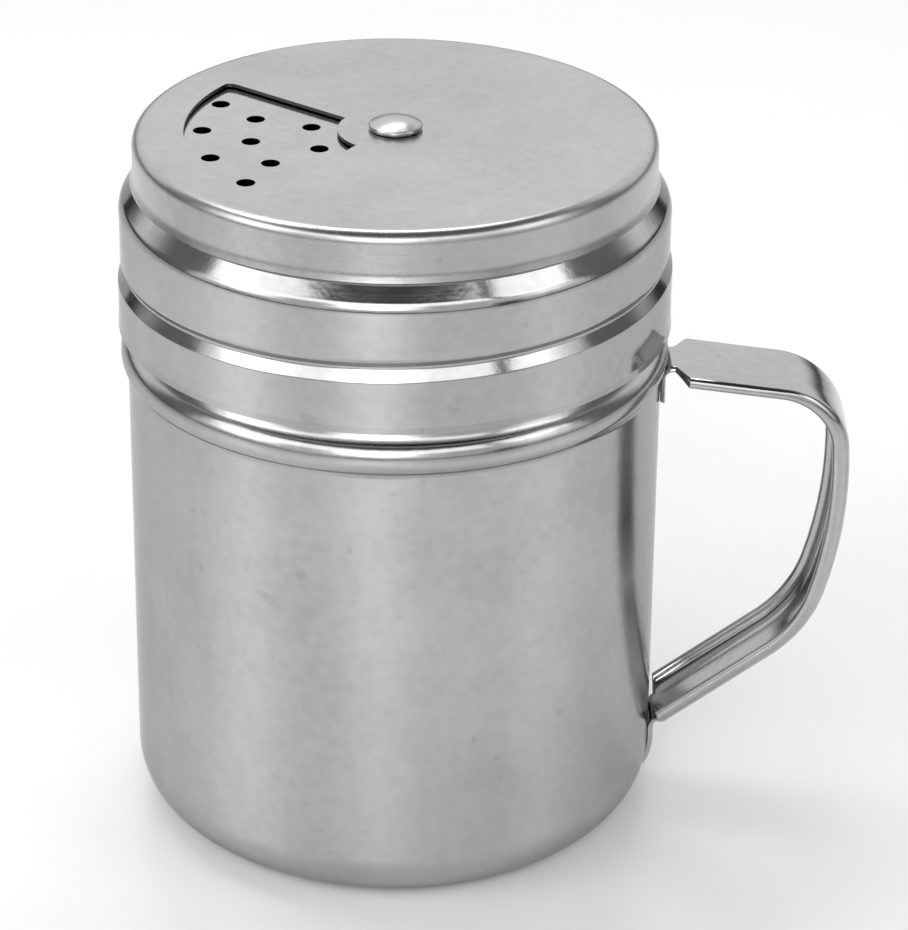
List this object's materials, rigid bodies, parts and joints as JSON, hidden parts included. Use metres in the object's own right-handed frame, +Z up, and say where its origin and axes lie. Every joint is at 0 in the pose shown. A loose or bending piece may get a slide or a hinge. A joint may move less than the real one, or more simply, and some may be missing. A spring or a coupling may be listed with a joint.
{
  "type": "handled shaker",
  "caption": "Stainless steel shaker for salt or spice: handled cup, screw-on lid with a sifting plate and a turning cover whose window opens or closes the holes.",
  "frame": {"origin": "Centre of the flat underside of the cup, on the cup's axis", "axes": "+Z up along the cup's axis, +X from the axis towards the handle, +Y to the left of the handle seen from the axis"},
  "size_m": [0.0956, 0.0718, 0.097],
  "materials": {
    "cup_steel": "satin",
    "handle_steel": "satin",
    "lid_steel": "satin",
    "cover_steel": "satin",
    "rivet_steel": "polished"
  },
  "bodies": {
    "cup": {"cup": "cup_steel", "handle": "handle_steel"},
    "rivet": {"rivet": "rivet_steel", "rivet_washer": "rivet_steel"},
    "lid": {"lid": "lid_steel"},
    "cover": {"cover": "cover_steel"}
  },
  "joints": [
    {"name": "lid_lift", "type": "slide", "parent": "cup", "child": "rivet", "axis": [0, 0, 1], "range_m": [0, 0.06]},
    {"name": "lid_turn", "type": "hinge", "parent": "rivet", "child": "lid", "pos_m": [0, 0, 0.0945], "axis": [0, 0, 1], "range_deg": [0, 450]},
    {"name": "cover_turn", "type": "hinge", "parent": "lid", "child": "cover", "pos_m": [0, 0, 0.0952], "axis": [0, 0, 1], "continuous": true}
  ]
}
